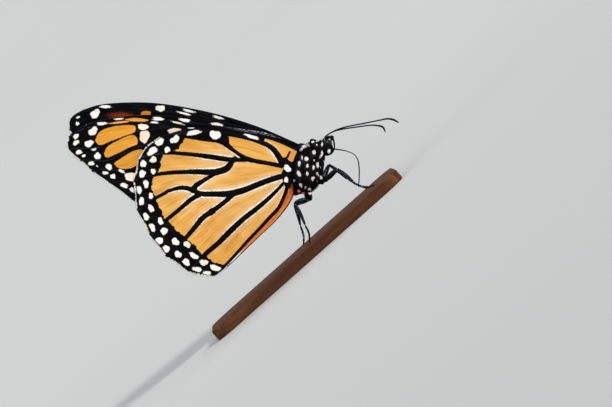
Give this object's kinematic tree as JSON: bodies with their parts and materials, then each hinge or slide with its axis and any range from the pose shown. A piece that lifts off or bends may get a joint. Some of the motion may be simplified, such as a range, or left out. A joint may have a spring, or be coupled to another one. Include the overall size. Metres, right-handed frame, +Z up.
{
  "type": "monarch butterfly model",
  "caption": "Life-size male monarch butterfly with closed wings, standing on a low rectangular base, for display.",
  "frame": {"origin": "centre of the base's underside", "axes": "+Z up, +X the way the butterfly faces, +Y to its left"},
  "size_m": [0.0617, 0.026, 0.0581],
  "materials": {
    "wing": "matt scales, amber cells between black veins, black border with white spots",
    "body_fur": "black hair and scales with white spots",
    "eye": "dark, faceted and glossy",
    "tongue": "dark brown, finely ringed",
    "feeler": "black, finely ringed, with a satin club",
    "leg": "black with a bluish sheen and short spines",
    "base": "dark close-grained wood, satin"
  },
  "bodies": {
    "root": {"forewing_right": "wing", "hindwing_right": "wing", "forewing_left": "wing", "hindwing_left": "wing", "head": "body_fur", "neck": "body_fur", "thorax": "body_fur", "abdomen_front": "body_fur", "abdomen_middle": "body_fur", "abdomen_tip": "body_fur", "eye_right": "eye", "eye_left": "eye", "palp_right": "body_fur", "palp_left": "body_fur", "proboscis_upper": "tongue", "proboscis_lower": "tongue", "antenna_right_shaft": "feeler", "antenna_right_club": "feeler", "antenna_left_shaft": "feeler", "antenna_left_club": "feeler", "foreleg_right": "leg", "foreleg_left": "leg", "leg_mid_right_coxa": "leg", "leg_mid_right_femur": "leg", "leg_mid_right_tibia": "leg", "leg_mid_right_tarsus": "leg", "leg_mid_left_coxa": "leg", "leg_mid_left_femur": "leg", "leg_mid_left_tibia": "leg", "leg_mid_left_tarsus": "leg", "leg_hind_right_coxa": "leg", "leg_hind_right_femur": "leg", "leg_hind_right_tibia": "leg", "leg_hind_right_tarsus": "leg", "leg_hind_left_coxa": "leg", "leg_hind_left_femur": "leg", "leg_hind_left_tibia": "leg", "leg_hind_left_tarsus": "leg", "stand_base": "base"}
  },
  "joints": []
}
